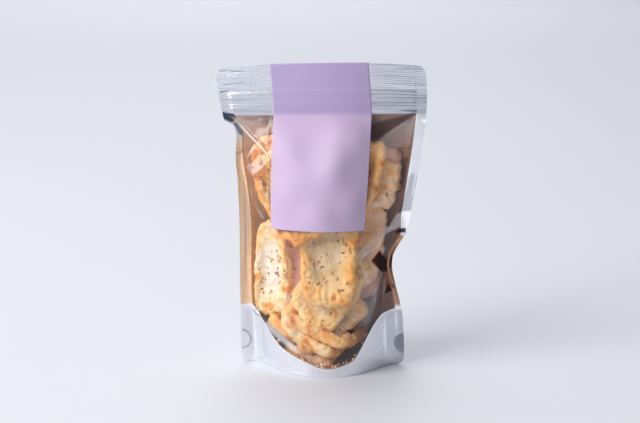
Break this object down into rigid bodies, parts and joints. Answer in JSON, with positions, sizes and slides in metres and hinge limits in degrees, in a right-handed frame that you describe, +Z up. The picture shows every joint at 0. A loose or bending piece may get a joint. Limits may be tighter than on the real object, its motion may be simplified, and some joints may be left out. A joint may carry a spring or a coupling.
{
  "type": "pouch of rice crackers",
  "caption": "Sealed stand-up pouch of sesame rice crackers, with a clear front, a foil back, a zip and a paper label folded over its top.",
  "frame": {"origin": "middle of the base, on the surface that the pouch stands on", "axes": "+Z up along the pouch, -Y out of the clear front, +X to the right of someone facing the front"},
  "size_m": [0.1405, 0.0715, 0.2075],
  "materials": {
    "pouch_film": "clear glossy film",
    "pouch_foil": "satin foil laminate",
    "label_paper": "smooth lilac paper",
    "cracker": "toasted rice cracker, pale in the middle",
    "sesame": "toasted sesame seed"
  },
  "bodies": {
    "root": {"pouch": "pouch_film", "label": "label_paper"}
  },
  "joints": []
}
